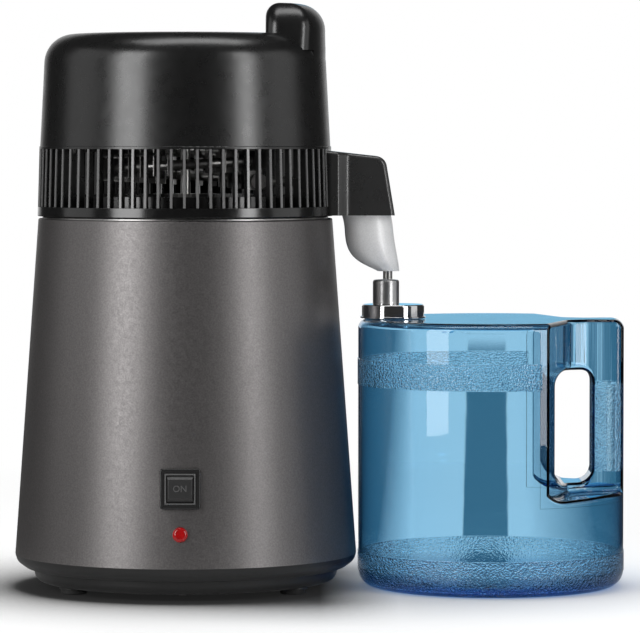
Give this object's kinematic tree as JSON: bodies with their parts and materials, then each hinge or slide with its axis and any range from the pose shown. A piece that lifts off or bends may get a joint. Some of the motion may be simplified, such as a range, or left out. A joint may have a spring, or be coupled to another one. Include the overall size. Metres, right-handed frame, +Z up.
{
  "type": "countertop water distiller",
  "caption": "Countertop water distiller: conical boiler, lift-off black head with fan, finned condenser, arched handle and spout, and a clear blue jug with moulded handle and cap.",
  "frame": {"origin": "middle of the footprint of boiler and jug, on the surface the feet and the jug stand on", "axes": "+Z up, -Y is the front with the switch and lamp, +X points from the boiler to the jug"},
  "size_m": [0.3962, 0.2234, 0.3781],
  "materials": {
    "shell_paint": "satin metallic titanium grey",
    "head_black": "satin black",
    "base_black": "matt black",
    "foot_rubber": "matt black",
    "zinc_steel": "zinc plated",
    "lid_steel": "dull pressed steel",
    "stainless": "satin stainless",
    "plate_aluminium": "as cast",
    "fin_aluminium": "bright",
    "element_steel": "dull sheath",
    "cutout_body": "phenolic",
    "bezel_black": "gloss black",
    "button_black": "satin black",
    "switch_body": "matt black",
    "socket_black": "semi-gloss black",
    "contact_brass": "nickel plated",
    "lens_red": "clear red",
    "lamp_body": "white nylon",
    "seal_silicone": "dark grey silicone",
    "motor_metal": "satin dark grey",
    "fan_plastic": "satin black",
    "guard_black": "black coated wire",
    "shroud_silver": "satin silver",
    "carbon_pouch": "charcoal in a pouch",
    "jug_plastic": "clear light blue",
    "cap_chrome": "chrome plated"
  },
  "bodies": {
    "boiler": {"outer_shell": "shell_paint", "base_trim_ring": "base_black", "base_pan": "base_black", "feet": "foot_rubber", "foot_screws": "zinc_steel", "base_studs": "zinc_steel", "base_nuts": "zinc_steel", "boiler_tank": "stainless", "heater_plate": "plate_aluminium", "heating_element": "element_steel", "thermal_cutouts": "cutout_body", "cutout_clamp": "zinc_steel", "clamp_screw": "zinc_steel", "switch_bezel": "bezel_black", "switch_housing": "switch_body", "switch_terminals": "contact_brass", "button_spring": "zinc_steel", "indicator_lens": "lens_red", "indicator_lamp": "lamp_body", "power_inlet": "socket_black", "inlet_pins": "contact_brass", "inlet_screws": "zinc_steel", "fan_outlet_socket": "socket_black"},
    "button": {"on_button": "button_black"},
    "head": {"vent_ring": "head_black", "lid_seal": "seal_silicone", "lid_dome": "lid_steel", "lid_skirt": "lid_steel", "lid_screws": "zinc_steel", "steam_riser": "stainless", "riser_nut": "stainless", "condenser_coil": "stainless", "condenser_fins": "fin_aluminium", "coil_outlet": "stainless", "head_cover": "head_black", "cover_rim": "head_black", "cover_handle": "head_black", "cover_screws": "zinc_steel", "fan_lead_inlet": "socket_black", "fan_lead_pins": "contact_brass", "motor_bracket": "zinc_steel", "bracket_screws": "zinc_steel", "fan_motor": "motor_metal", "fan_guard": "guard_black", "spout_arm": "head_black", "nozzle_shroud": "shroud_silver", "drip_tip": "stainless", "carbon_basket": "stainless", "carbon_pod": "carbon_pouch"},
    "fan": {"fan_rotor": "fan_plastic"},
    "jug": {"jug_body": "jug_plastic", "jug_handle": "jug_plastic"},
    "cap": {"jug_cap": "cap_chrome", "cap_collar": "cap_chrome", "cap_gasket": "seal_silicone"}
  },
  "joints": [
    {"name": "head_lift", "type": "slide", "parent": "boiler", "child": "head", "axis": [0, 0, 1], "range_m": [0, 0.15]},
    {"name": "fan_spin", "type": "hinge", "parent": "head", "child": "fan", "pos_m": [-0.08715, 0, 0.33], "axis": [0, 0, 1], "continuous": true},
    {"name": "button_press", "type": "slide", "parent": "boiler", "child": "button", "axis": [0, 0.9974, -0.0716], "range_m": [0, 0.0025], "stiffness_N_per_m": 600, "springref_m": -0.002, "deforming": ["button_spring"]},
    {"name": "jug_pull", "type": "slide", "parent": "boiler", "child": "jug", "axis": [1, 0, 0], "range_m": [0, 0.2]},
    {"name": "cap_turn", "type": "hinge", "parent": "jug", "child": "cap", "pos_m": [0.04775, 0, 0.18], "axis": [0, 0, 1], "range_deg": [0, 90]}
  ]
}
